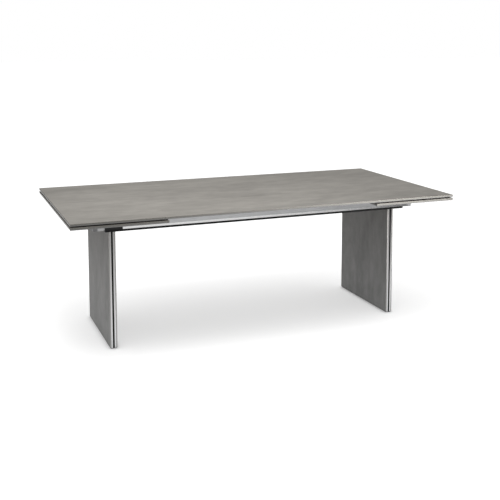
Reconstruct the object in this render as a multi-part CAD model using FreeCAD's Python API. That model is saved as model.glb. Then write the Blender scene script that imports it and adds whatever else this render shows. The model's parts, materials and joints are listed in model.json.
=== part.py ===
import FreeCAD, Part
import math
import os

from FreeCAD import Vector

# Extendable dining table with two end leaves stored under a fixed top.
# Frame: millimetres, +Z up, X along the table, Y from front (-) to back (+).
# The origin is on the floor under the middle of the table.
# The table looks the same after half a turn about Z, so the left end and the front are
# modelled, and the right end and the back are the same pieces turned round.

# ---- overall sizes, table closed ----
TABLE_LENGTH = 2200.0
TABLE_WIDTH = 1100.0
TABLE_HEIGHT = 750.0
HALF_LENGTH = TABLE_LENGTH / 2
HALF_WIDTH = TABLE_WIDTH / 2

# ---- table top and leaves ----
CERAMIC = 6.0
TOP_GLASS = 6.0
LEAF_GLASS = 7.0
LEAF_LENGTH = 500.0
LEAF_GAP = 7.0                 # air between the fixed top and a stored leaf
EDGE_BEVEL = 0.8               # ground arris along the ceramic edges
GLASS_INSET = 0.5
TOP_BOTTOM = TABLE_HEIGHT - CERAMIC - TOP_GLASS
LEAF_TOP = TOP_BOTTOM - LEAF_GAP
LEAF_BOTTOM = LEAF_TOP - CERAMIC - LEAF_GLASS
LEAF_INNER_END = HALF_LENGTH - LEAF_LENGTH

# ---- underframe envelope ----
FRAME_BOTTOM = 650.0
FRAME_TOP = 716.0
FRAME_END = 888.0              # half length of the underframe
HEAD_INNER_END = 795.0         # where the leg head starts, seen from the middle
FRAME_FACE = 350.0             # front face of the underframe, measured from the middle
SHEET = 3.0                    # wall of the folded steel and of the apron

# ---- side beam, a steel channel with a low outer lip ----
BEAM_WEB = 306.0               # inner face of the web
BEAM_LIP_HEIGHT = 11.0
BEAM_FLANGE = 24.0

# ---- fixed slide profile and the rail that runs in it ----
FIT = 0.5                      # gap between neighbouring fixed pieces
PROFILE_WALL = 2.5
RAIL_WIDTH = 30.0
RAIL_HEIGHT = 18.0
RAIL_SIDE_GAP = 0.75
PAD_THICKNESS = 1.5
PAD_GAP = 0.3
RAIL_CENTRE = 327.75           # middle of the rail, measured from the middle of the table
RAIL_BOTTOM = 657.0
RAIL_TOP = RAIL_BOTTOM + RAIL_HEIGHT
RAIL_END = 950.0
RAIL_INNER_END = 15.0
RAIL_STEP = 4.0                # depth of the step along the rail's lower outer edge
RAIL_STEP_HEIGHT = 5.5
CAP_LENGTH = 24.0
CAVITY_OUTER = RAIL_CENTRE + RAIL_WIDTH / 2 + RAIL_SIDE_GAP
CAVITY_INNER = RAIL_CENTRE - RAIL_WIDTH / 2 - RAIL_SIDE_GAP
CAVITY_BOTTOM = RAIL_BOTTOM - PAD_GAP - PAD_THICKNESS
CAVITY_TOP = RAIL_TOP + PAD_GAP + PAD_THICKNESS
STRIP_BOTTOM = FRAME_BOTTOM + BEAM_LIP_HEIGHT + FIT
STRIP_TOP = 673.0
PAD_LENGTH = 60.0
PAD_MARGIN = 5.0
PAD_SIDE = 1.5
STOP_HALF_LENGTH = 12.0
LEAF_TRAVEL = 507.0            # outward travel of a leaf

# ---- spacer deck between underframe and fixed top ----
DECK_END = LEAF_INNER_END - 10.0
DECK_FACE = 345.0
DECK_TUBE = 40.0
DECK_WALL = 2.0
DECK_CROSSBARS = (-DECK_END + DECK_TUBE / 2, 0.0, DECK_END - DECK_TUBE / 2)
DECK_SCREWS_X = (-450.0, -150.0, 150.0, 450.0)
DECK_SCREW_Y = 297.0
DECK_SCREW_RADIUS = 2.5
DECK_SCREW_HEAD = 4.5
DECK_SCREW_HEAD_HEIGHT = 3.0
DECK_SCREW_GRIP = 5.0

# ---- cross-member over each leg ----
LEG_PLATE = 6.0
CROSS_HALF_WIDTH = 285.0
CROSS_BOTTOM = FRAME_BOTTOM + LEG_PLATE
CROSS_TOP = 690.0
SPACER_INNER = CROSS_HALF_WIDTH + 1.0

# ---- legs ----
LEG_OUTER = 860.0
LEG_CERAMIC = 6.0
LEG_TRAY = 8.0
LEG_CORE = 10.0
LEG_HALF_DEPTH = 290.0
REVEAL = 8.0                   # how far the dark core stands back from the panel edges
FOOT_GAP = 5.0                 # bottom of the panels above the floor
GLIDE_HEIGHT = 2.0
GLIDE_RADIUS = 11.0
GLIDES_Y = (-255.0, -85.0, 85.0, 255.0)
FOOT_INSET = 3.0
UPRIGHT_WIDTH = 60.0
UPRIGHT_WALL = 2.0
LEG_PLATE_INSET = 4.0
LEG_BOLTS_Y = (-220.0, 0.0, 220.0)
LEG_BOLT_OFFSET = 12.0         # bolt line from the plate's long edges
LEG_BOLT_RADIUS = 4.0
LEG_BOLT_HEAD = 6.5
LEG_BOLT_HEAD_HEIGHT = 4.5
LEG_BOLT_GRIP = 12.0
BOLT_CLEARANCE = 0.25

# ---- leaf carriage ----
CROSSBAR_OUTER = 932.0
CROSSBAR_WIDTH = 40.0
CROSSBAR_WALL = 2.0
ARM_OUTER_SIDE = 220.0         # outer side of a carriage arm, from the middle
ARM_WIDTH = 20.0
ARM_BOTTOM = CROSS_TOP + 2.0
ARM_TOP = 708.0
ARM_INNER_END = 620.0

# ---- lift links and leaf battens ----
LINK_LENGTH = 50.0
LINK_RISE = 6.0                # height of the upper pivot over the lower one, leaf stored
LINK_THICKNESS = 5.0
LINK_RADIUS = 6.5
LINK_GAP = 0.5
SHAFT_RADIUS = 5.0
PIN_RADIUS = 3.0
PIN_REACH = 12.0
PIVOT_FIT = 0.08               # radial running clearance
PIVOT_HEIGHT = 700.0
OUTER_PIVOT_X = -905.0
INNER_PIVOT_X = -680.0
LINK_SPAN = math.sqrt(LINK_LENGTH ** 2 - LINK_RISE ** 2)
BATTEN_WIDTH = 20.0
BATTEN_BOTTOM = PIVOT_HEIGHT
BATTEN_OUTER_END = 1080.0
BATTEN_SIDE = ARM_OUTER_SIDE + 2 * LINK_GAP + LINK_THICKNESS

# ---- leaf latch ----
PLUNGER_MIDDLE_X = -842.0
PLUNGER_WIDTH = 40.0
PLUNGER_OUTER = 306.0          # the stem, beside the rail
PLUNGER_INNER = 296.0
PLUNGER_BOTTOM = FRAME_BOTTOM + 1.0
HOOK_OUTER = 332.0
HOOK_BOTTOM = 686.0
HOOK_TOP = 696.0
TOOTH_WIDTH = 12.0
TOOTH_DEPTH = 10.0
TOOTH_CLEARANCE = 0.4          # the tooth stands this far above the rail
NOTCH_WIDTH = 14.0
NOTCH_DEPTH = 5.0
LATCH_GAP = 0.4
LATCH_POCKET_TOP = 712.0
SPRING_RADIUS = 4.5
SPRING_WIRE_WIDTH = 1.2        # flat wire, wider than it is high
SPRING_WIRE_HEIGHT = 0.8
SPRING_TURNS = 4.0
SPRING_Y = -313.0


def block(x0, x1, y0, y1, z0, z1):
    """Box between two corners given in any order."""
    low = Vector(min(x0, x1), min(y0, y1), min(z0, z1))
    return Part.makeBox(abs(x1 - x0), abs(y1 - y0), abs(z1 - z0), low)


def post(radius, x, y, z0, z1):
    """Upright cylinder."""
    return Part.makeCylinder(radius, z1 - z0, Vector(x, y, z0))


def rod(radius, x, z, y0, y1):
    """Cylinder along Y."""
    return Part.makeCylinder(radius, abs(y1 - y0), Vector(x, min(y0, y1), z), Vector(0, 1, 0))


def tube_along_x(x0, x1, y0, y1, z0, z1, wall):
    """Rectangular tube, open at both ends."""
    inside = block(x0 - 1, x1 + 1, y0 + wall, y1 - wall, z0 + wall, z1 - wall)
    return block(x0, x1, y0, y1, z0, z1).cut(inside)


def tube_along_y(x0, x1, y0, y1, z0, z1, wall):
    """Rectangular tube, open at both ends."""
    inside = block(x0 + wall, x1 - wall, y0 - 1, y1 + 1, z0 + wall, z1 - wall)
    return block(x0, x1, y0, y1, z0, z1).cut(inside)


def join(pieces):
    """One solid from touching pieces."""
    return pieces[0].multiFuse(pieces[1:]).removeSplitter()


def group(pieces):
    """Separate solids that share a name."""
    return Part.makeCompound(pieces)


def half_turn(shape):
    """The same piece at the other end of the table, turned about Z."""
    turned = shape.copy()
    turned.rotate(Vector(0, 0, 0), Vector(0, 0, 1), 180)
    return turned


def mirrored(shape):
    """The same piece on the back side of the table."""
    return shape.mirror(Vector(0, 0, 0), Vector(0, 1, 0))


def bevelled(shape, z, size):
    """Bevel all straight edges that lie at height z."""
    edges = [e for e in shape.Edges if all(abs(v.Z - z) < 1e-6 for v in e.Vertexes)]
    return shape.makeChamfer(size, edges)


def sheet_pair(x0, x1, top, ceramic, glass):
    """Ceramic sheet with ground arrises, and the glass panel bonded under it."""
    skin = block(x0, x1, -HALF_WIDTH, HALF_WIDTH, top - ceramic, top)
    skin = bevelled(bevelled(skin, top, EDGE_BEVEL), top - ceramic, EDGE_BEVEL / 2)
    low, high = min(x0, x1) + GLASS_INSET, max(x0, x1) - GLASS_INSET
    side = HALF_WIDTH - GLASS_INSET
    panel = block(low, high, -side, side, top - ceramic - glass, top - ceramic)
    return skin, bevelled(panel, top - ceramic - glass, EDGE_BEVEL)


def make_side_beam():
    """Steel channel along the front: low outer lip, bottom flange, web and top flange."""
    face = -FRAME_FACE
    lip = block(-FRAME_END, FRAME_END, face, face + SHEET,
                FRAME_BOTTOM, FRAME_BOTTOM + BEAM_LIP_HEIGHT)
    flange = block(-FRAME_END, FRAME_END, face, -BEAM_WEB, FRAME_BOTTOM, FRAME_BOTTOM + SHEET)
    web = block(-HEAD_INNER_END, HEAD_INNER_END, -BEAM_WEB - SHEET, -BEAM_WEB,
                FRAME_BOTTOM, FRAME_TOP)
    top = block(-HEAD_INNER_END, HEAD_INNER_END, -BEAM_WEB - SHEET, -BEAM_WEB + BEAM_FLANGE,
                FRAME_TOP - SHEET, FRAME_TOP)
    beam = join([lip, flange, web, top])
    holes = [post(DECK_SCREW_RADIUS + BOLT_CLEARANCE, x, -DECK_SCREW_Y,
                  FRAME_TOP - 2 * SHEET, FRAME_TOP + 1) for x in DECK_SCREWS_X]
    return beam.cut(group(holes))


def make_slide_profile():
    """Fixed aluminium profile in the front side beam: hollow for the rails, with the strip."""
    outer = CAVITY_OUTER + PROFILE_WALL
    inner = CAVITY_INNER - PROFILE_WALL
    bottom = FRAME_BOTTOM + SHEET
    top = CAVITY_TOP + PROFILE_WALL
    body = block(-HEAD_INNER_END, FRAME_END, -outer, -inner, bottom, top)
    strip = block(-HEAD_INNER_END, FRAME_END, -FRAME_FACE, -outer, STRIP_BOTTOM, STRIP_TOP)
    hollow = block(-HEAD_INNER_END - 1, FRAME_END + 1, -CAVITY_OUTER, -CAVITY_INNER,
                   CAVITY_BOTTOM, CAVITY_TOP)
    return join([body, strip]).cut(hollow)


def make_apron():
    """Light grey fascia above the strip, with a flange along its top."""
    bottom = STRIP_TOP + FIT
    face = block(-HEAD_INNER_END, FRAME_END, -FRAME_FACE, -FRAME_FACE + SHEET, bottom, FRAME_TOP)
    flange = block(-HEAD_INNER_END, FRAME_END, -FRAME_FACE, -FRAME_FACE + BEAM_FLANGE,
                   FRAME_TOP - SHEET, FRAME_TOP)
    return join([face, flange])


def make_crossmember():
    """Steel tube across the left leg, with the holes for the leg bolts in its bottom."""
    tube = tube_along_y(-FRAME_END, -HEAD_INNER_END, -CROSS_HALF_WIDTH, CROSS_HALF_WIDTH,
                        CROSS_BOTTOM, CROSS_TOP, SHEET)
    holes = [post(LEG_BOLT_RADIUS + BOLT_CLEARANCE, x, y, CROSS_BOTTOM - 1, CROSS_BOTTOM + SHEET + 1)
             for x, y in leg_bolt_places()]
    return tube.cut(group(holes))


def make_corner_spacer():
    """Steel block between the left cross-member and the back side beam."""
    return block(-FRAME_END, -HEAD_INNER_END - FIT, SPACER_INNER, BEAM_WEB,
                 FRAME_BOTTOM + SHEET + FIT, CROSS_TOP)


def make_latch_housing():
    """Black block at the front left: tunnel for the rail and pocket for the plunger."""
    outer_end, inner_end = -FRAME_END, -HEAD_INNER_END - FIT
    low = FRAME_BOTTOM + SHEET + FIT
    body = block(outer_end, inner_end, -FRAME_FACE, -SPACER_INNER, low, FRAME_TOP)
    lip_room = block(outer_end - 1, inner_end + 1, -FRAME_FACE - 1, -FRAME_FACE + SHEET + FIT,
                     low - 1, STRIP_BOTTOM)
    tunnel = block(outer_end - 1, inner_end + 1, -CAVITY_OUTER, -CAVITY_INNER,
                   CAVITY_BOTTOM, CAVITY_TOP)
    half = PLUNGER_WIDTH / 2 + LATCH_GAP
    left, right = PLUNGER_MIDDLE_X - half, PLUNGER_MIDDLE_X + half
    stem_room = block(left, right, -PLUNGER_OUTER - LATCH_GAP, -PLUNGER_INNER + LATCH_GAP,
                      low - 1, LATCH_POCKET_TOP)
    hook_room = block(left, right, -HOOK_OUTER - LATCH_GAP, -PLUNGER_INNER + LATCH_GAP,
                      CAVITY_TOP - 1, LATCH_POCKET_TOP)
    return body.cut(group([lip_room, tunnel])).cut(join([stem_room, hook_room]))


def make_latch_plunger():
    """Stem pressed from below, with a hook over the rail and a tooth on the hook."""
    half = PLUNGER_WIDTH / 2
    left, right = PLUNGER_MIDDLE_X - half, PLUNGER_MIDDLE_X + half
    stem = block(left, right, -PLUNGER_OUTER, -PLUNGER_INNER, PLUNGER_BOTTOM, HOOK_TOP)
    hook = block(left, right, -HOOK_OUTER, -PLUNGER_INNER, HOOK_BOTTOM, HOOK_TOP)
    tooth = block(PLUNGER_MIDDLE_X - TOOTH_WIDTH / 2, PLUNGER_MIDDLE_X + TOOTH_WIDTH / 2,
                  -HOOK_OUTER, -HOOK_OUTER + TOOTH_DEPTH, RAIL_TOP + TOOTH_CLEARANCE, HOOK_BOTTOM)
    return bevelled(join([stem, hook, tooth]), PLUNGER_BOTTOM, 1.0)


def make_latch_spring():
    """Flat-wire coil spring between the hook and the top of its pocket."""
    height = LATCH_POCKET_TOP - HOOK_TOP - SPRING_WIRE_HEIGHT
    helix = Part.makeHelix(height / SPRING_TURNS, height, SPRING_RADIUS)
    inside = SPRING_RADIUS - SPRING_WIRE_WIDTH / 2
    outside = SPRING_RADIUS + SPRING_WIRE_WIDTH / 2
    half = SPRING_WIRE_HEIGHT / 2
    corners = [(inside, -half), (outside, -half), (outside, half), (inside, half), (inside, -half)]
    section = Part.makePolygon([Vector(x, 0, z) for x, z in corners])
    spring = Part.Wire(helix).makePipeShell([section], True, True)
    spring.translate(Vector(PLUNGER_MIDDLE_X, SPRING_Y, HOOK_TOP + half))
    return spring


def make_guide_pads():
    """Nylon pads under and over the rails, near both ends of both profiles."""
    pads = []
    starts = (-HEAD_INNER_END + PAD_MARGIN, FRAME_END - PAD_MARGIN - PAD_LENGTH)
    for start in starts:
        for low, high in ((CAVITY_BOTTOM, CAVITY_BOTTOM + PAD_THICKNESS),
                          (CAVITY_TOP - PAD_THICKNESS, CAVITY_TOP)):
            pad = block(start, start + PAD_LENGTH, -CAVITY_OUTER + PAD_SIDE,
                        -CAVITY_INNER - PAD_SIDE, low, high)
            pads += [pad, half_turn(pad)]
    return group(pads)


def make_centre_stops():
    """Rubber blocks in the middle of both profiles, where the rails meet when closed."""
    stop = block(-STOP_HALF_LENGTH, STOP_HALF_LENGTH, -CAVITY_OUTER + PAD_SIDE,
                 -CAVITY_INNER - PAD_SIDE, CAVITY_BOTTOM, CAVITY_TOP)
    return group([stop, half_turn(stop)])


def make_deck_rails():
    """Two long tubes under the fixed top, tapped for the deck screws."""
    rail = tube_along_x(-DECK_END, DECK_END, -DECK_FACE, -DECK_FACE + DECK_TUBE + BEAM_FLANGE / 2,
                        FRAME_TOP, TOP_BOTTOM, DECK_WALL)
    holes = [post(DECK_SCREW_RADIUS, x, -DECK_SCREW_Y, FRAME_TOP - 1, FRAME_TOP + DECK_SCREW_GRIP)
             for x in DECK_SCREWS_X]
    rail = rail.cut(group(holes))
    return group([rail, half_turn(rail)])


def make_deck_crossbars():
    """Three tubes across, between the two deck rails."""
    reach = DECK_FACE - DECK_TUBE - BEAM_FLANGE / 2
    return group([tube_along_y(x - DECK_TUBE / 2, x + DECK_TUBE / 2, -reach, reach,
                               FRAME_TOP, TOP_BOTTOM, DECK_WALL) for x in DECK_CROSSBARS])


def make_deck_screws():
    """Screws up through the side beams' top flanges into the deck rails."""
    screws = []
    for x in DECK_SCREWS_X:
        head = post(DECK_SCREW_HEAD, x, -DECK_SCREW_Y,
                    FRAME_TOP - SHEET - DECK_SCREW_HEAD_HEIGHT, FRAME_TOP - SHEET)
        shank = post(DECK_SCREW_RADIUS, x, -DECK_SCREW_Y, FRAME_TOP - SHEET,
                     FRAME_TOP + DECK_SCREW_GRIP)
        screw = join([head, shank])
        screws += [screw, half_turn(screw)]
    return group(screws)


def leg_bolt_places():
    """Centres of the bolts that hold the left leg."""
    outer = -(FRAME_END - LEG_PLATE_INSET - LEG_BOLT_OFFSET)
    inner = -(HEAD_INNER_END + LEG_PLATE_INSET + LEG_BOLT_OFFSET)
    return [(x, y) for x in (outer, inner) for y in LEG_BOLTS_Y]


def make_leg_plate():
    """Steel plate welded on the leg's core, bolted up against the cross-member."""
    plate = block(-FRAME_END + LEG_PLATE_INSET, -HEAD_INNER_END - LEG_PLATE_INSET,
                  -CROSS_HALF_WIDTH, CROSS_HALF_WIDTH, FRAME_BOTTOM, CROSS_BOTTOM)
    holes = [post(LEG_BOLT_RADIUS + BOLT_CLEARANCE, x, y, FRAME_BOTTOM - 1, CROSS_BOTTOM + 1)
             for x, y in leg_bolt_places()]
    return plate.cut(group(holes))


def make_leg_bolts():
    """Button-head bolts up through the leg's plate."""
    bolts = []
    for x, y in leg_bolt_places():
        head = post(LEG_BOLT_HEAD, x, y, FRAME_BOTTOM - LEG_BOLT_HEAD_HEIGHT, FRAME_BOTTOM)
        head = bevelled(head, FRAME_BOTTOM - LEG_BOLT_HEAD_HEIGHT, LEG_BOLT_HEAD_HEIGHT / 2)
        shank = post(LEG_BOLT_RADIUS, x, y, FRAME_BOTTOM, FRAME_BOTTOM + LEG_BOLT_GRIP)
        bolts.append(join([head, shank]))
    return group(bolts)


def leg_layer(start, thickness, half_depth, low, high):
    """One flat layer of the left leg; start is its outer face, as a distance from the middle."""
    return block(-start, -start + thickness, -half_depth, half_depth, low, high)


def make_leg():
    """All the pieces of the left leg, by name."""
    tray_start = LEG_OUTER - LEG_CERAMIC
    core_start = tray_start - LEG_TRAY
    inner_tray_start = core_start - LEG_CORE
    inner_start = inner_tray_start - LEG_TRAY
    inner_face = inner_start - LEG_CERAMIC
    low, high, depth = FOOT_GAP, FRAME_BOTTOM, LEG_HALF_DEPTH
    core_depth = depth - REVEAL
    upright = block(-core_start, -core_start + LEG_CORE, -core_depth, -core_depth + UPRIGHT_WIDTH,
                    low, high)
    upright = upright.cut(block(-core_start + UPRIGHT_WALL, -core_start + LEG_CORE - UPRIGHT_WALL,
                                -core_depth + UPRIGHT_WALL, -core_depth + UPRIGHT_WIDTH - UPRIGHT_WALL,
                                low - 1, high + 1))
    middle = -(LEG_OUTER + inner_face) / 2
    return {
        "leg_outer_ceramic": leg_layer(LEG_OUTER, LEG_CERAMIC, depth, low, high),
        "leg_outer_panel": leg_layer(tray_start, LEG_TRAY, depth, low, high),
        "leg_core_uprights": group([upright, mirrored(upright)]),
        "leg_core_board": leg_layer(core_start, LEG_CORE, core_depth - UPRIGHT_WIDTH, low, high),
        "leg_inner_panel": leg_layer(inner_tray_start, LEG_TRAY, depth, low, high),
        "leg_inner_ceramic": leg_layer(inner_start, LEG_CERAMIC, depth, low, high),
        "leg_top_plate": make_leg_plate(),
        "leg_foot_plate": block(-LEG_OUTER + FOOT_INSET, -inner_face - FOOT_INSET,
                                -depth + FOOT_INSET, depth - FOOT_INSET, GLIDE_HEIGHT, FOOT_GAP),
        "leg_glides": group([post(GLIDE_RADIUS, middle, y, 0, GLIDE_HEIGHT) for y in GLIDES_Y]),
        "leg_bolts": make_leg_bolts(),
    }


def make_slide_rails():
    """The left leaf's two rails; the front one has the latch notches."""
    outer, inner = -RAIL_CENTRE - RAIL_WIDTH / 2, -RAIL_CENTRE + RAIL_WIDTH / 2
    start = -RAIL_END + CAP_LENGTH
    plain = block(start, -RAIL_INNER_END, outer, inner, RAIL_BOTTOM, RAIL_TOP)
    step = block(start - 1, -RAIL_INNER_END + 1, outer - 1, outer + RAIL_STEP,
                 RAIL_BOTTOM - 1, RAIL_BOTTOM + RAIL_STEP_HEIGHT)
    plain = plain.cut(step)
    notches = [block(x - NOTCH_WIDTH / 2, x + NOTCH_WIDTH / 2, -HOOK_OUTER - 1,
                     -HOOK_OUTER + TOOTH_DEPTH + 1, RAIL_TOP - NOTCH_DEPTH, RAIL_TOP + 1)
               for x in (PLUNGER_MIDDLE_X, PLUNGER_MIDDLE_X + LEAF_TRAVEL)]
    return group([plain.cut(group(notches)), mirrored(plain)])


def make_rail_caps():
    """End caps on the left leaf's rails."""
    cap = block(-RAIL_END, -RAIL_END + CAP_LENGTH, -RAIL_CENTRE - RAIL_WIDTH / 2,
                -RAIL_CENTRE + RAIL_WIDTH / 2, RAIL_BOTTOM, RAIL_TOP)
    rim = [e for e in cap.Edges if all(abs(v.X + RAIL_END) < 1e-6 for v in e.Vertexes)]
    cap = cap.makeFillet(2.0, rim)
    return group([cap, mirrored(cap)])


def make_crossbar():
    """Tube between the two rails, just outside the underframe."""
    reach = RAIL_CENTRE - RAIL_WIDTH / 2
    return tube_along_y(-CROSSBAR_OUTER, -CROSSBAR_OUTER + CROSSBAR_WIDTH, -reach, reach,
                        RAIL_BOTTOM, RAIL_TOP, CROSSBAR_WALL)


def make_carriage_arms():
    """Two bars over the cross-member that carry the lift links."""
    inner_side = ARM_OUTER_SIDE - ARM_WIDTH
    riser = block(-CROSSBAR_OUTER, -CROSSBAR_OUTER + CROSSBAR_WIDTH, -ARM_OUTER_SIDE, -inner_side,
                  RAIL_TOP, ARM_TOP)
    bar = block(-CROSSBAR_OUTER, -ARM_INNER_END, -ARM_OUTER_SIDE, -inner_side, ARM_BOTTOM, ARM_TOP)
    arm = join([riser, bar])
    for x in (OUTER_PIVOT_X, INNER_PIVOT_X):
        arm = arm.cut(rod(SHAFT_RADIUS + PIVOT_FIT, x, PIVOT_HEIGHT,
                          -ARM_OUTER_SIDE - 1, -inner_side + 1))
    return group([arm, mirrored(arm)])


def link_plate(x, y0, y1):
    """Flat bar with round ends, from the lower pivot at x to the upper one."""
    tilt = math.atan2(LINK_RISE, LINK_SPAN)
    side = Vector(math.sin(tilt), 0, math.cos(tilt)) * LINK_RADIUS
    along = Vector(-math.cos(tilt), 0, math.sin(tilt)) * LINK_RADIUS
    lower = Vector(x, y0, PIVOT_HEIGHT)
    upper = Vector(x - LINK_SPAN, y0, PIVOT_HEIGHT + LINK_RISE)
    outline = Part.Wire([
        Part.LineSegment(lower + side, upper + side).toShape(),
        Part.Arc(upper + side, upper + along, upper - side).toShape(),
        Part.LineSegment(upper - side, lower - side).toShape(),
        Part.Arc(lower - side, lower - along, lower + side).toShape(),
    ])
    return Part.Face(outline).extrude(Vector(0, y1 - y0, 0))


def make_lift_link(x):
    """Shaft across the table, with a link and a pin welded at each end."""
    near = ARM_OUTER_SIDE + LINK_GAP
    far = near + LINK_THICKNESS
    pieces = [rod(SHAFT_RADIUS, x, PIVOT_HEIGHT, -far, far)]
    for side in (-1, 1):
        pieces.append(link_plate(x, side * near, side * far))
        pieces.append(rod(PIN_RADIUS, x - LINK_SPAN, PIVOT_HEIGHT + LINK_RISE,
                          side * near, side * (far + LINK_GAP + PIN_REACH)))
    return join(pieces)


def make_leaf_battens():
    """Two bars bonded under the left leaf, with the holes for the links' pins."""
    bar = block(-BATTEN_OUTER_END, -ARM_INNER_END, -BATTEN_SIDE - BATTEN_WIDTH, -BATTEN_SIDE,
                BATTEN_BOTTOM, LEAF_BOTTOM)
    for x in (OUTER_PIVOT_X, INNER_PIVOT_X):
        bar = bar.cut(rod(PIN_RADIUS + PIVOT_FIT, x - LINK_SPAN, PIVOT_HEIGHT + LINK_RISE,
                          -BATTEN_SIDE - PIN_REACH - LINK_GAP, -BATTEN_SIDE + 1))
    return group([bar, mirrored(bar)])


def make_parts():
    """Every node of the table, by name."""
    parts = {}
    parts["top_ceramic"], parts["top_glass"] = sheet_pair(
        -HALF_LENGTH, HALF_LENGTH, TABLE_HEIGHT, CERAMIC, TOP_GLASS)
    parts["deck_rails"] = make_deck_rails()
    parts["deck_crossbars"] = make_deck_crossbars()
    parts["deck_screws"] = make_deck_screws()
    parts["guide_pads"] = make_guide_pads()
    parts["centre_stops"] = make_centre_stops()
    spacer = make_corner_spacer()
    parts["corner_spacers"] = group([spacer, half_turn(spacer)])

    front = {
        "side_beam": make_side_beam(),
        "slide_profile": make_slide_profile(),
        "apron": make_apron(),
    }
    for name, shape in front.items():
        parts[name + "_front"] = shape
        parts[name + "_back"] = half_turn(shape)

    left = {
        "crossmember": make_crossmember(),
        "latch_housing": make_latch_housing(),
        "latch_plunger": make_latch_plunger(),
        "latch_spring": make_latch_spring(),
        "slide_rails": make_slide_rails(),
        "rail_caps": make_rail_caps(),
        "carriage_crossbar": make_crossbar(),
        "carriage_arms": make_carriage_arms(),
        "lift_link_outer": make_lift_link(OUTER_PIVOT_X),
        "lift_link_inner": make_lift_link(INNER_PIVOT_X),
        "leaf_battens": make_leaf_battens(),
    }
    left["leaf_ceramic"], left["leaf_glass"] = sheet_pair(
        -HALF_LENGTH, -LEAF_INNER_END, LEAF_TOP, CERAMIC, LEAF_GLASS)
    left.update(make_leg())
    for name, shape in left.items():
        parts[name + "_left"] = shape
        parts[name + "_right"] = half_turn(shape)
    return parts


for node, solid in make_parts().items():
    solid.exportStep("parts/" + node + ".step")
    print(node, len(solid.Solids), "solids", round(solid.Volume / 1000, 1), "cm3", solid.isValid())
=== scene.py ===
"""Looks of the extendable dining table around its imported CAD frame. Metres, in the CAD's axes."""
import json
import math

import bmesh
import bpy
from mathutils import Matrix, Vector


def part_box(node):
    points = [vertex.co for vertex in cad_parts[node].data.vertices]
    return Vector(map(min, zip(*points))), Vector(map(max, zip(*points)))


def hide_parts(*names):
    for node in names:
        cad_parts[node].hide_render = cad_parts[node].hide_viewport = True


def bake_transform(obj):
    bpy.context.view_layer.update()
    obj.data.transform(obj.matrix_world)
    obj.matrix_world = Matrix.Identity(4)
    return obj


LEG_TOP = 0.66                 # underside of the frame

# Latch springs
SPRING_RADIUS = 0.0045
SPRING_WIRE_WIDTH = 0.0012
SPRING_WIRE_HEIGHT = 0.0008
SPRING_TURNS = 4
STEPS_PER_TURN = 36

# Textures
NOISE_LOW, NOISE_HIGH = 0.3, 0.7        # most values of a noise lie between these
PAIR_LOW, PAIR_HIGH = 0.7, 1.3          # and most sums of two noises between these
STREAK_LOW, STREAK_HIGH = 0.34, 0.66    # narrower, so that the streaks have more contrast
EDGE_START = 0.02                       # 1 - cosine at which an arris begins to show
CLOUD_SHARE = 0.33                      # parts of the ceramic's lightness, 1 in all
PATCH_SHARE = 0.27
FINE_SHARE = 0.40                       # streaks and grain together
PATCHES_PER_CLOUD = 3.7
PAINTED_LIGHT_WARMTH = -0.04                     # the painted floor light near the feet is a little bluer

# Camera
CAMERA_PLACE = (-1.7621, -4.6345, 1.6368)
CAMERA_YAW = 0.37337           # turned right of +Y, radians
CAMERA_PITCH = 0.11667         # below the horizon, radians
CAMERA_SENSOR = 36.0           # mm
CAMERA_LENS = 61.17            # mm
CAMERA_SHIFT = -0.22
CAMERA_RANGE = (0.05, 300.0)   # near and far clipping

# Studio
FLOOR_HALF = 60.0
FLOOR_DARK, FLOOR_LIGHT = (0.78, 0.78, 0.78), (0.82, 0.82, 0.82)
FLOOR_GLOW = 0.50
CONTACT_SHADOW_REACH = 0.035          # how far the painted contact shadow around a foot spreads
CONTACT_SHADOW_GLOW = 0.15            # share of the floor's glow left in the painted contact shadow under a foot
FLAG_CORNERS = [(1.75, -6.5, 0.12), (7.0, -6.5, 0.12), (7.0, -1.6, 0.12), (1.75, -1.6, 0.12)]
SKY_AT_HORIZON = 0.28
SKY_AT_ZENITH = 1.3
SKY_SEEN = 1.0                 # plain white behind the table
OVERHEAD = {"place": (-0.75, -0.8, 3.1), "target": (2.6, 0.0, 0.3), "size": (1.4, 2.2),
            "watts": 56.0}
KEY = {"place": (2.9, -2.9, 0.16), "target": (0.5, -0.5, 0.92), "size": (0.5, 0.3),
       "watts": 15.5, "spread": 29.0}


def feed(tree, socket, value):
    """Links an output to a socket, or sets the socket to a constant."""
    if isinstance(value, bpy.types.NodeSocket):
        tree.links.new(value, socket)
    else:
        socket.default_value = value


def combine(tree, operation, first, second):
    """Math node on two outputs or numbers."""
    node = tree.nodes.new("ShaderNodeMath")
    node.operation = operation
    feed(tree, node.inputs[0], first)
    feed(tree, node.inputs[1], second)
    return node.outputs[0]


def tone(value, warmth=0.0):
    """Grey of one lightness, a little redder and less blue with warmth."""
    return (value * (1 + warmth * 0.6), value, value * (1 - warmth))


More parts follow.
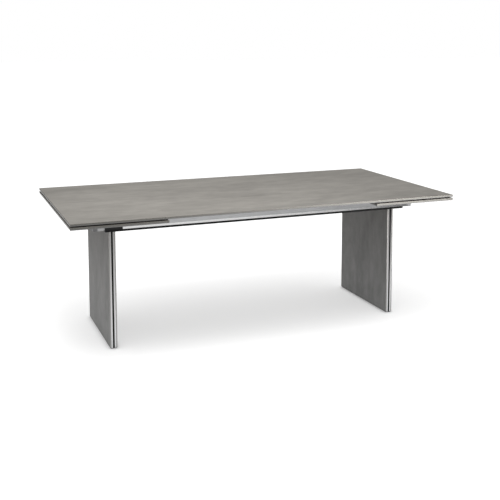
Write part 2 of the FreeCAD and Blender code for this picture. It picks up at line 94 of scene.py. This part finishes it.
class Look:
    """A principled material whose inputs are fed by a few procedural textures."""

    def __init__(self, name, metallic=0.0, specular=0.5):
        self.material = bpy.data.materials.new(name)
        self.material.use_nodes = True
        self.tree = self.material.node_tree
        self.nodes = self.tree.nodes
        self.links = self.tree.links
        self.nodes.clear()
        self.shader = self.nodes.new("ShaderNodeBsdfPrincipled")
        self.shader.inputs["Metallic"].default_value = metallic
        self.shader.inputs["Specular IOR Level"].default_value = specular
        self.shader.inputs["IOR"].default_value = 1.5
        output = self.nodes.new("ShaderNodeOutputMaterial")
        self.links.new(self.shader.outputs["BSDF"], output.inputs["Surface"])
        self.place = self.nodes.new("ShaderNodeTexCoord").outputs["Object"]
        self.last_bump = None

    def scaled_place(self, scale, offset=0.0):
        """Object coordinates with one scale, or one for each axis."""
        mapping = self.nodes.new("ShaderNodeMapping")
        mapping.inputs["Scale"].default_value = scale if isinstance(scale, tuple) else (scale,) * 3
        mapping.inputs["Location"].default_value = (offset, offset * 0.7, offset * 1.3)
        self.links.new(self.place, mapping.inputs["Vector"])
        return mapping.outputs["Vector"]

    def noise(self, scale, detail=4.0, roughness=0.5, offset=0.0, distortion=0.0):
        """Fractal noise."""
        place = self.scaled_place(scale, offset)
        texture = self.nodes.new("ShaderNodeTexNoise")
        texture.inputs["Scale"].default_value = 1.0
        texture.inputs["Detail"].default_value = detail
        texture.inputs["Roughness"].default_value = roughness
        texture.inputs["Distortion"].default_value = distortion
        self.links.new(place, texture.inputs["Vector"])
        return texture.outputs["Fac"]

    def spots(self, scale, size):
        """Small round spots, 1 at their middle and 0 between them."""
        place = self.scaled_place(scale)
        texture = self.nodes.new("ShaderNodeTexVoronoi")
        texture.inputs["Scale"].default_value = 1.0
        self.links.new(place, texture.inputs["Vector"])
        return self.spread(texture.outputs["Distance"], size, 0.0, 0.0, 1.0)

    def spread(self, value, low, high, to_low, to_high):
        """Maps a range of an output onto another, clamped."""
        node = self.nodes.new("ShaderNodeMapRange")
        self.links.new(value, node.inputs["Value"])
        node.inputs["From Min"].default_value = low
        node.inputs["From Max"].default_value = high
        node.inputs["To Min"].default_value = to_low
        node.inputs["To Max"].default_value = to_high
        return node.outputs["Result"]

    def share(self, noise, amount):
        """A noise stretched over 0 to an amount."""
        return self.spread(noise, NOISE_LOW, NOISE_HIGH, 0.0, amount)

    def faded(self, mask, amount):
        """A mask from 0 to 1, weakened to an amount."""
        return self.spread(mask, 0.0, 1.0, 0.0, amount)

    def sum(self, *values):
        """Adds outputs together."""
        total = values[0]
        for value in values[1:]:
            total = combine(self.tree, "ADD", total, value)
        return total

    def blend(self, factor, first, second):
        """Colour between two colours or outputs."""
        node = self.nodes.new("ShaderNodeMix")
        node.data_type = "RGBA"
        feed(self.tree, node.inputs[0], factor)
        for socket, value in ((node.inputs[6], first), (node.inputs[7], second)):
            if isinstance(value, tuple):
                value = (*value, 1.0)
            feed(self.tree, socket, value)
        return node.outputs[2]

    def edges(self, radius, full):
        """0 on the flats of the shape, 1 on its arrises, where 1 - cosine reaches full."""
        bevel = self.nodes.new("ShaderNodeBevel")
        bevel.samples = 4
        bevel.inputs["Radius"].default_value = radius
        flat = self.nodes.new("ShaderNodeNewGeometry")
        dot = self.nodes.new("ShaderNodeVectorMath")
        dot.operation = "DOT_PRODUCT"
        self.links.new(bevel.outputs["Normal"], dot.inputs[0])
        self.links.new(flat.outputs["Normal"], dot.inputs[1])
        turned = combine(self.tree, "SUBTRACT", 1.0, dot.outputs["Value"])
        return self.spread(turned, EDGE_START, full, 0.0, 1.0)

    def away_from(self, axis):
        """1 on faces that don't look along the axis, 0 on those that do."""
        flat = self.nodes.new("ShaderNodeTexCoord")
        split = self.nodes.new("ShaderNodeSeparateXYZ")
        self.links.new(flat.outputs["Normal"], split.inputs[0])
        facing = combine(self.tree, "MULTIPLY", split.outputs[axis], split.outputs[axis])
        return self.spread(facing, 0.35, 0.65, 1.0, 0.0)

    def paint_floor_light(self, color, gain):
        """Painted floor light: a colour output multiplied by a gain at the floor and by 1 at the
        frame, so a leg is painted lighter towards the foot and shaded under the top.
        """
        split = self.nodes.new("ShaderNodeSeparateXYZ")
        self.links.new(self.place, split.inputs[0])
        lowness = self.spread(split.outputs["Z"], 0.0, LEG_TOP, 1.0, 0.0)
        pale = self.nodes.new("ShaderNodeVectorMath")
        pale.operation = "MULTIPLY"
        self.links.new(color, pale.inputs[0])
        pale.inputs[1].default_value = tone(gain, PAINTED_LIGHT_WARMTH)
        return self.blend(lowness, color, pale.outputs[0])

    def openness(self, reach):
        """1 in the open, less in corners within reach of something."""
        node = self.nodes.new("ShaderNodeAmbientOcclusion")
        node.samples = 8
        node.inputs["Distance"].default_value = reach
        return node.outputs["AO"]

    def color(self, value):
        """Sets the colour to an output."""
        self.links.new(value, self.shader.inputs["Base Color"])

    def roughness(self, low, high, noise, second_noise=None):
        """Lets the roughness follow one noise, or two added together."""
        if second_noise:
            rough = self.spread(self.sum(noise, second_noise), PAIR_LOW, PAIR_HIGH, low, high)
        else:
            rough = self.spread(noise, NOISE_LOW, NOISE_HIGH, low, high)
        self.links.new(rough, self.shader.inputs["Roughness"])

    def bump(self, height, distance, strength):
        """Adds relief on top of what is there already."""
        node = self.nodes.new("ShaderNodeBump")
        node.inputs["Strength"].default_value = strength
        node.inputs["Distance"].default_value = distance
        self.links.new(height, node.inputs["Height"])
        if self.last_bump:
            self.links.new(self.last_bump, node.inputs["Normal"])
        self.last_bump = node.outputs["Normal"]
        self.links.new(self.last_bump, self.shader.inputs["Normal"])


def ceramic(name, dark, light, streak_scale, streak_share, cloud_scale, warmth, face_axis,
            rim_tone_with_painted_light, painted_light_gain=None):
    """Concrete-look ceramic: clouds, trowel streaks, fine grain, small pores, and a cut rim in a
    tone of its own, set darker on the top as painted shade and lighter on the legs as painted
    light.
    """
    look = Look(name, specular=0.1)
    patch_scale = tuple(scale * PATCHES_PER_CLOUD for scale in cloud_scale)
    clouds = look.noise(cloud_scale, detail=6.0, roughness=0.55, offset=3.1, distortion=0.6)
    patches = look.noise(patch_scale, detail=5.0, roughness=0.6, offset=9.4, distortion=0.3)
    streaks = look.noise(streak_scale, detail=4.0, roughness=0.6, offset=1.7, distortion=0.2)
    grain = look.noise(620.0, detail=3.0, roughness=0.7)
    pores = look.spots(170.0, size=0.14)
    body = look.sum(look.share(clouds, CLOUD_SHARE), look.share(patches, PATCH_SHARE),
                    look.spread(streaks, STREAK_LOW, STREAK_HIGH, 0.0, streak_share),
                    look.share(grain, FINE_SHARE - streak_share))
    base = look.blend(body, tone(dark, warmth), tone(light, warmth))
    base = look.blend(look.faded(pores, 0.25), base, tone(dark * 0.6, warmth))
    # rim tone: partly the cut body of the ceramic, partly painted shade on the top's side faces and
    # painted light on the legs' edges
    rim_with_painted_light = look.blend(grain, tone(rim_tone_with_painted_light * 0.85, warmth), tone(rim_tone_with_painted_light * 1.15, warmth))
    base = look.blend(look.away_from(face_axis), base, rim_with_painted_light)
    edge = look.edges(radius=0.0007, full=0.2)
    base = look.blend(look.faded(edge, 0.3), base, tone(light, warmth))
    # painted floor light: the leg ceramic is painted lighter towards the floor, darker under the
    # top
    if painted_light_gain:
        base = look.paint_floor_light(base, painted_light_gain)
    look.color(base)
    look.roughness(0.52, 0.68, streaks, grain)
    look.bump(grain, distance=0.00025, strength=0.35)
    look.bump(look.sum(streaks, patches), distance=0.0006, strength=0.25)
    look.bump(pores, distance=-0.0002, strength=0.4)
    return look.material


def lacquered_glass(name, shade):
    """Toughened glass lacquered on the back, with ground edges."""
    look = Look(name)
    drift = look.noise(7.0, detail=4.0, roughness=0.6)
    scuff = look.noise((90.0, 900.0, 240.0), detail=3.0, roughness=0.6, offset=4.0)
    base = look.blend(drift, tone(shade * 0.85, 0.06), tone(shade * 1.1, 0.04))
    edge = look.edges(radius=0.0008, full=0.2)
    look.color(look.blend(look.faded(edge, 0.5), base, tone(shade * 1.6, 0.02)))
    look.roughness(0.22, 0.4, scuff)
    look.bump(scuff, distance=0.0001, strength=0.3)
    return look.material


def powder_coat(name, shade, rough, metallic=0.0, specular=0.4, warmth=0.0):
    """Powder-coated metal: fine orange peel, worn arrises, faint dust."""
    look = Look(name, metallic, specular)
    peel = look.noise(700.0, detail=2.0, roughness=0.5)
    dust = look.noise(9.0, detail=6.0, roughness=0.65, offset=2.2)
    base = look.blend(look.share(dust, 1.0), tone(shade * 0.88, warmth), tone(shade * 1.12, warmth))
    wear = look.spread(dust, 0.35, 0.65, 0.2, 0.5)
    edge = combine(look.tree, "MULTIPLY", look.edges(radius=0.0010, full=0.25), wear)
    look.color(look.blend(edge, base, tone(shade * 1.5 + 0.02, warmth)))
    look.roughness(rough - 0.07, rough + 0.09, peel, dust)
    look.bump(peel, distance=0.00015, strength=0.35)
    return look.material


def brushed_metal(name, shade, rough, along, warmth=0.0, painted_light_gain=None):
    """Brushed or drawn metal, with lines along one axis."""
    look = Look(name, metallic=1.0)
    lines = look.noise(tuple(6.0 if axis == along else 1400.0 for axis in "XYZ"),
                       detail=3.0, roughness=0.6)
    bands = look.noise(tuple(1.5 if axis == along else 160.0 for axis in "XYZ"),
                       detail=4.0, roughness=0.5, offset=5.0)
    smudge = look.noise(11.0, detail=5.0, roughness=0.6, offset=7.0)
    body = look.sum(look.share(lines, 0.4), look.share(bands, 0.35), look.share(smudge, 0.25))
    base = look.blend(body, tone(shade * 0.88, warmth), tone(shade * 1.1, warmth))
    edge = look.edges(radius=0.0008, full=0.25)
    base = look.blend(look.faded(edge, 0.4), base, tone(shade * 1.25, warmth))
    # painted floor light: the metal is painted lighter towards the floor, darker under the top
    if painted_light_gain:
        base = look.paint_floor_light(base, painted_light_gain)
    look.color(base)
    look.roughness(rough - 0.08, rough + 0.1, lines, smudge)
    look.bump(lines, distance=0.00008, strength=0.3)
    return look.material


def moulded(name, shade, rough, skin_scale=500.0, specular=0.3):
    """Moulded plastic or rubber with an eroded skin."""
    look = Look(name, specular=specular)
    skin = look.noise(skin_scale, detail=3.0, roughness=0.6)
    flow = look.noise(30.0, detail=4.0, roughness=0.6, offset=6.0)
    base = look.blend(look.share(flow, 1.0), tone(shade * 0.85), tone(shade * 1.15))
    edge = look.edges(radius=0.0008, full=0.25)
    look.color(look.blend(look.faded(edge, 0.35), base, tone(shade * 1.5 + 0.01)))
    look.roughness(rough - 0.08, rough + 0.1, skin, flow)
    look.bump(skin, distance=0.0002, strength=0.4)
    return look.material


def fibre_board(name, shade):
    """Black-dyed fibre board with pale flecks."""
    look = Look(name, specular=0.2)
    fibres = look.noise((300.0, 90.0, 900.0), detail=5.0, roughness=0.7)
    flecks = look.spots(260.0, size=0.2)
    base = look.blend(look.share(fibres, 1.0), tone(shade * 0.7), tone(shade * 1.4))
    look.color(look.blend(look.faded(flecks, 0.3), base, tone(shade * 3.0, 0.05)))
    look.roughness(0.75, 0.92, fibres)
    look.bump(fibres, distance=0.0004, strength=0.5)
    return look.material


def make_materials():
    """One material for each slot of the record, and a duller one for the slide rails."""
    return {
        "ceramic": ceramic("ceramic", dark=0.148, light=0.288,
                           streak_scale=(13.0, 42.0, 42.0), streak_share=0.25,
                           cloud_scale=(1.3, 3.4, 3.4), warmth=0.085,
                           face_axis="Z", rim_tone_with_painted_light=0.112),
        # the leg ceramic and the leg panels' metal carry painted floor light, lighter towards the
        # foot
        "leg_ceramic": ceramic("leg_ceramic", dark=0.086, light=0.182,
                               streak_scale=(30.0, 34.0, 8.0), streak_share=0.18,
                               cloud_scale=(5.0, 6.0, 3.6), warmth=0.05,
                               face_axis="X", rim_tone_with_painted_light=0.2, painted_light_gain=1.75),
        "backing": lacquered_glass("backing", 0.10),
        "black_steel": powder_coat("black_steel", 0.004, 0.5, specular=0.12),
        "apron_metal": powder_coat("apron_metal", 0.415, 0.42, metallic=1.0, warmth=-0.01),
        "bright_aluminium": brushed_metal("bright_aluminium", 0.59, 0.26, along="X"),
        "rail_aluminium": brushed_metal("rail_aluminium", 0.32, 0.36, along="X"),
        "deck_aluminium": brushed_metal("deck_aluminium", 0.5, 0.42, along="X"),
        "panel_metal": brushed_metal("panel_metal", 0.265, 0.38, along="Z", warmth=0.03,
                                     painted_light_gain=2.5),
        "core_board": fibre_board("core_board", 0.02),
        "black_plastic": moulded("black_plastic", 0.013, 0.5, specular=0.12),
        "cap_plastic": moulded("cap_plastic", 0.13, 0.5),
        "nylon": moulded("nylon", 0.05, 0.45),
        "rubber": moulded("rubber", 0.02, 0.75, skin_scale=800.0),
        "zinc_steel": brushed_metal("zinc_steel", 0.6, 0.34, along="Z"),
    }


def paint(frame, materials):
    """Puts each slot's material on its CAD nodes."""
    for row in frame["record"]["subparts"]:
        slot = row["material_slot"]
        if row["node"].startswith("slide_rails"):
            slot = "rail_aluminium"
        mesh = frame["nodes"][row["node"]].data
        mesh.materials.clear()
        mesh.materials.append(materials[slot])


def make_object(name, shape, material):
    """Object from a finished bmesh, which is freed."""
    mesh = bpy.data.meshes.new(name)
    shape.to_mesh(mesh)
    shape.free()
    mesh.materials.append(material)
    made = bpy.data.objects.new(name, mesh)
    bpy.context.scene.collection.objects.link(made)
    return made


def make_spring(side, start_angle, material):
    """Flat-wire latch spring between its pocket in the frame and the plunger."""
    node = f"latch_spring_{side}"
    low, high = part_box(node)
    middle_x, middle_y = (low[0] + high[0]) / 2, (low[1] + high[1]) / 2
    half_width, half_height = SPRING_WIRE_WIDTH / 2, SPRING_WIRE_HEIGHT / 2
    section = [(-half_width, -half_height), (half_width, -half_height),
               (half_width, half_height), (-half_width, half_height)]
    first, last = low[2] + half_height, high[2] - half_height
    steps = SPRING_TURNS * STEPS_PER_TURN
    shape = bmesh.new()
    rings = []
    for step in range(steps + 1):
        angle = start_angle + step * 2 * math.pi / STEPS_PER_TURN
        height = first + (last - first) * step / steps
        rings.append([shape.verts.new((middle_x + (SPRING_RADIUS + out) * math.cos(angle),
                                       middle_y + (SPRING_RADIUS + out) * math.sin(angle),
                                       height + up)) for out, up in section])
    for ring, following in zip(rings, rings[1:]):
        for i in range(len(section)):
            shape.faces.new([ring[i - 1], ring[i], following[i], following[i - 1]])
    shape.faces.new(reversed(rings[0]))
    shape.faces.new(rings[-1])
    bmesh.ops.recalc_face_normals(shape, faces=shape.faces)
    spring = make_object(f"coil_{side}", shape, material)
    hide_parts(node)
    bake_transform(spring)


def sheet_of(name, corners, material):
    """Flat sheet between four corners."""
    shape = bmesh.new()
    shape.faces.new([shape.verts.new(corner) for corner in corners])
    return make_object(name, shape, material)


def make_floor():
    """Pale seamless floor. It glows, except close around the feet, where a contact shadow is
    painted into the glow.
    """
    look = Look("floor", specular=0.2)
    drift = look.noise(0.6, detail=3.0, roughness=0.5)
    fine = look.noise(60.0, detail=3.0, roughness=0.5)
    look.color(look.blend(drift, FLOOR_DARK, FLOOR_LIGHT))
    look.roughness(0.85, 0.95, fine)
    look.bump(fine, distance=0.0003, strength=0.1)
    look.shader.inputs["Emission Color"].default_value = (1.0, 1.0, 1.0, 1.0)
    # painted contact shadow: the glow is dimmed where the floor is occluded close to the feet
    glow_in_painted_shadow = FLOOR_GLOW * CONTACT_SHADOW_GLOW
    glow = look.spread(look.openness(CONTACT_SHADOW_REACH), 0.0, 1.0, glow_in_painted_shadow, FLOOR_GLOW)
    look.links.new(glow, look.shader.inputs["Emission Strength"])
    corners = [(-FLOOR_HALF, -FLOOR_HALF, 0), (FLOOR_HALF, -FLOOR_HALF, 0),
               (FLOOR_HALF, FLOOR_HALF, 0), (-FLOOR_HALF, FLOOR_HALF, 0)]
    sheet_of("floor", corners, look.material)


def make_flag():
    """Dark studio flag low at the front right. It only shows in glossy surfaces."""
    look = Look("flag", specular=0.0)
    weave = look.noise(80.0, detail=3.0, roughness=0.5)
    look.color(look.blend(weave, tone(0.05), tone(0.08)))
    look.shader.inputs["Roughness"].default_value = 0.9
    flag = sheet_of("flag", FLAG_CORNERS, look.material)
    flag.visible_camera = False
    flag.visible_diffuse = False
    flag.visible_shadow = False


def make_sky():
    """Soft surroundings, brighter overhead than at the horizon."""
    world = bpy.data.worlds.new("studio")
    world.use_nodes = True
    tree = world.node_tree
    place = tree.nodes.new("ShaderNodeTexCoord")
    split = tree.nodes.new("ShaderNodeSeparateXYZ")
    tree.links.new(place.outputs["Generated"], split.inputs[0])
    rise = split.outputs["Z"]
    steep = combine(tree, "MULTIPLY", rise, rise)
    above = combine(tree, "MULTIPLY", steep, combine(tree, "GREATER_THAN", rise, 0.0))
    height = tree.nodes.new("ShaderNodeMapRange")
    height.inputs["From Min"].default_value = 0.0
    height.inputs["From Max"].default_value = 1.0
    height.inputs["To Min"].default_value = SKY_AT_HORIZON
    height.inputs["To Max"].default_value = SKY_AT_ZENITH
    tree.links.new(above, height.inputs["Value"])
    seen = tree.nodes.new("ShaderNodeLightPath")
    level = tree.nodes.new("ShaderNodeMix")
    tree.links.new(seen.outputs["Is Camera Ray"], level.inputs[0])
    tree.links.new(height.outputs["Result"], level.inputs[2])
    level.inputs[3].default_value = SKY_SEEN
    tree.links.new(level.outputs[0], tree.nodes["Background"].inputs["Strength"])
    tree.nodes["Background"].inputs["Color"].default_value = (1.0, 1.0, 1.0, 1.0)
    bpy.context.scene.world = world


def softbox(name, place, target, size, watts, spread=180.0):
    """Rectangular soft light aimed at a point, with its spread in degrees."""
    data = bpy.data.lights.new(name, "AREA")
    data.shape = "RECTANGLE"
    data.size, data.size_y = size
    data.energy = watts
    data.spread = math.radians(spread)
    lamp = bpy.data.objects.new(name, data)
    lamp.location = place
    aim_x, aim_y, aim_z = [t - p for t, p in zip(target, place)]
    tilt = math.atan2(math.hypot(aim_x, aim_y), -aim_z)
    lamp.rotation_euler = (tilt, 0.0, math.atan2(-aim_x, aim_y))
    lamp.visible_camera = False
    lamp.visible_glossy = False
    bpy.context.scene.collection.objects.link(lamp)


def make_studio():
    """Floor, flag, sky, a soft box overhead and a small one low at the front right."""
    make_floor()
    make_flag()
    make_sky()
    softbox("overhead", **OVERHEAD)
    softbox("key", **KEY)


def make_camera():
    """Camera at the photograph's viewing angle."""
    data = bpy.data.cameras.new("camera")
    data.sensor_width = CAMERA_SENSOR
    data.lens = CAMERA_LENS
    data.shift_y = CAMERA_SHIFT
    data.clip_start, data.clip_end = CAMERA_RANGE
    camera = bpy.data.objects.new("camera", data)
    camera.location = CAMERA_PLACE
    camera.rotation_euler = (math.pi / 2 - CAMERA_PITCH, 0.0, -CAMERA_YAW)
    bpy.context.scene.collection.objects.link(camera)
    bpy.context.scene.camera = camera


def corners(box):
    """Low and high corner of a box as lists."""
    return [list(corner) for corner in box]


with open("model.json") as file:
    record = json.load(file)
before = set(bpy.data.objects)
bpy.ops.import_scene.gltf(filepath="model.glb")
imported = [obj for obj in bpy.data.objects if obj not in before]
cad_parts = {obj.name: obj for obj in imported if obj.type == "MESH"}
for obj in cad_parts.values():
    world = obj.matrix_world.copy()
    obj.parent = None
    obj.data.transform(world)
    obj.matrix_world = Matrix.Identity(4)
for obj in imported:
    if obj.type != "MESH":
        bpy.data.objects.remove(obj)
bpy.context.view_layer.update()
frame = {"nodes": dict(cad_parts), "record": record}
materials = make_materials()
paint(frame, materials)
make_spring("left", 0.0, materials["zinc_steel"])
make_spring("right", math.pi, materials["zinc_steel"])
make_studio()
make_camera()
bpy.context.scene.view_settings.view_transform = "Standard"
